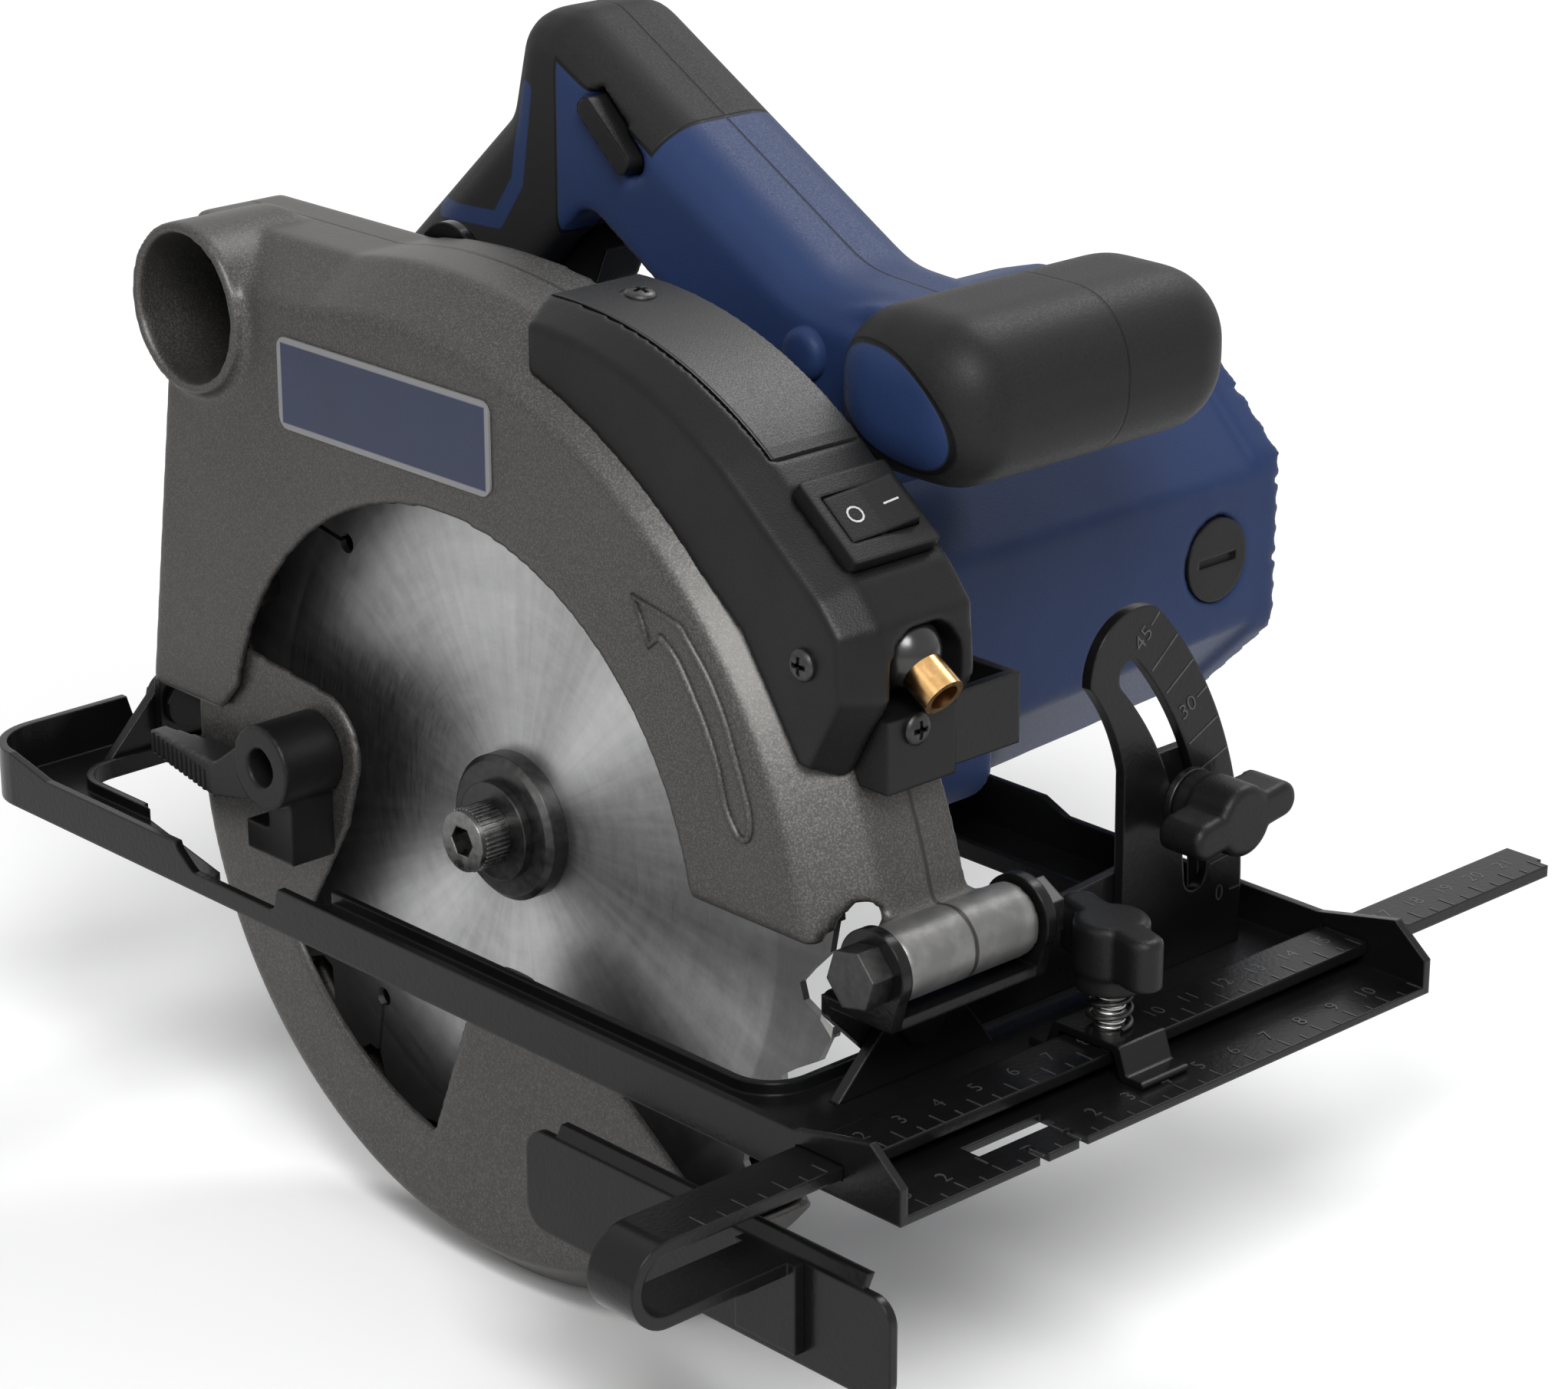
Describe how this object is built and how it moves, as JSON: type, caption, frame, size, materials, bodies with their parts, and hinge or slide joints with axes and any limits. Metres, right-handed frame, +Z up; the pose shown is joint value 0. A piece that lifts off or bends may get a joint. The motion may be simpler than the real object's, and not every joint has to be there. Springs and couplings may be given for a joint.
{
  "type": "circular_saw",
  "caption": "Corded circular saw with tilting stamped shoe, swinging lower guard, geared motor, laser guide and sliding side fence",
  "frame": {"origin": "on the sole, in the middle of the blade, straight below the arbor", "axes": "+X the cutting direction, +Y the motor side, +Z up"},
  "size_m": [0.305, 0.2685, 0.2573],
  "materials": {
    "black_paint": "satin black paint on stamped steel",
    "cast_guard": "cast, grey-bronze satin lacquer",
    "lower_cast": "cast, grey-bronze satin lacquer",
    "steel": "zinc-plated",
    "blade_steel": "ground",
    "carbide": "ground hard metal",
    "bright_steel": "turned",
    "black_plastic": "fine texture",
    "grip_rubber": "moulded soft grip",
    "body_plastic": "navy, fine texture",
    "brass": "turned",
    "rocker_black": "moulded, black",
    "iron_core": "laminated",
    "copper": "turned copper",
    "carbon": "pressed carbon"
  },
  "bodies": {
    "shoe": {"shoe_plate": "black_paint", "bevel_quadrant": "black_paint", "front_gusset": "black_paint", "rear_gusset": "black_paint", "pivot_rivets": "steel", "fence_strap": "black_paint", "fence_spring": "steel"},
    "fence": {"fence_bar": "black_paint", "fence_plate": "black_paint"},
    "fence_clamp": {"fence_knob": "black_plastic", "fence_screw": "steel"},
    "tilt": {"tilt_bracket": "black_paint", "depth_rail": "black_paint", "hinge_bolt": "steel"},
    "bevel_clamp": {"bevel_stud": "steel"},
    "bevel_knob": {"bevel_knob": "black_plastic"},
    "saw": {"upper_guard": "cast_guard", "guard_back": "cast_guard", "guard_spring": "steel", "gear_case": "cast_guard", "motor_housing": "body_plastic", "motor_end_cap": "black_plastic", "brush_caps": "black_plastic", "brush_holders": "black_plastic", "brushes": "carbon", "stator": "iron_core", "bearings": "bright_steel", "handle_left": "body_plastic", "handle_right": "body_plastic", "top_cap": "grip_rubber", "rear_grip": "grip_rubber", "front_grip": "grip_rubber", "switch_block": "black_plastic", "cable_inlet": "black_plastic", "laser_housing": "black_plastic", "laser_cover": "black_plastic", "rocker_frame": "black_plastic", "laser_seat": "black_plastic", "laser_tube": "brass", "laser_clamp": "black_plastic", "laser_bracket": "black_paint", "depth_stud": "steel"},
    "lower_guard": {"lower_guard": "lower_cast", "guard_lever": "black_plastic"},
    "blade": {"saw_blade": "blade_steel", "tooth_tips": "carbide", "inner_flange": "bright_steel", "outer_flange": "bright_steel", "bolt_washer": "bright_steel", "blade_bolt": "bright_steel", "spindle": "bright_steel", "drive_gear": "bright_steel"},
    "armature": {"motor_shaft": "bright_steel", "armature_core": "iron_core", "commutator": "copper", "fan": "black_plastic"},
    "trigger": {"trigger": "black_plastic"},
    "lock_off": {"lock_off_button": "black_plastic"},
    "laser_rocker": {"laser_rocker": "rocker_black"},
    "depth_lever": {"depth_lever": "black_plastic"}
  },
  "joints": [
    {"name": "bevel_tilt", "type": "hinge", "parent": "shoe", "child": "tilt", "pos_m": [0.105, 0.0083, 0.014], "axis": [1, 0, 0], "range_deg": [0, 45]},
    {"name": "bevel_clamp_slide", "type": "hinge", "parent": "shoe", "child": "bevel_clamp", "pos_m": [0.105, 0.0083, 0.014], "axis": [1, 0, 0], "range_deg": [0, 26]},
    {"name": "bevel_knob_turn", "type": "hinge", "parent": "bevel_clamp", "child": "bevel_knob", "pos_m": [0.11, 0.08433, 0.03724], "axis": [1, 0, 0], "range_deg": [0, 180]},
    {"name": "depth_tilt", "type": "hinge", "parent": "tilt", "child": "saw", "pos_m": [0.1155, 0.008, 0.0315], "axis": [0, 1, 0], "range_deg": [0, 30]},
    {"name": "depth_lever_turn", "type": "hinge", "parent": "saw", "child": "depth_lever", "pos_m": [-0.07139, 0.025, 0.03803], "axis": [0, 1, 0], "range_deg": [0, 40]},
    {"name": "guard_swing", "type": "hinge", "parent": "saw", "child": "lower_guard", "pos_m": [0, 0, 0.0245], "axis": [0, 1, 0], "range_deg": [0, 120], "stiffness_Nm_per_rad": 0.25, "springref_deg": -60},
    {"name": "blade_spin", "type": "hinge", "parent": "saw", "child": "blade", "pos_m": [0, 0, 0.0245], "axis": [0, 1, 0], "continuous": true},
    {"name": "motor_spin", "type": "hinge", "parent": "saw", "child": "armature", "pos_m": [0.008, 0.06, 0.05729], "axis": [0, 1, 0], "continuous": true},
    {"name": "trigger_pull", "type": "slide", "parent": "saw", "child": "trigger", "axis": [-0.722, 0, 0.6919], "range_m": [0, 0.006], "stiffness_N_per_m": 600, "springref_m": -0.002},
    {"name": "lock_off_press", "type": "slide", "parent": "saw", "child": "lock_off", "axis": [0, 1, 0], "range_m": [0, 0.003], "stiffness_N_per_m": 600, "springref_m": -0.002},
    {"name": "laser_switch", "type": "hinge", "parent": "saw", "child": "laser_rocker", "pos_m": [0.095, 0.006, 0.112], "axis": [-0.788, 0, 0.6157], "range_deg": [0, 12]},
    {"name": "fence_slide", "type": "slide", "parent": "shoe", "child": "fence", "axis": [0, 1, 0], "range_m": [-0.055, 0.02]},
    {"name": "fence_knob_turn", "type": "hinge", "parent": "shoe", "child": "fence_clamp", "pos_m": [0.128, 0.04, 0.017], "axis": [0, 0, 1], "range_deg": [-70, 0]}
  ],
  "couplings": [
    {"joint": "motor_spin", "follows": "blade_spin", "ratio": -1.5714},
    {"joint": "bevel_clamp_slide", "follows": "bevel_tilt", "ratio": 0.57778}
  ]
}
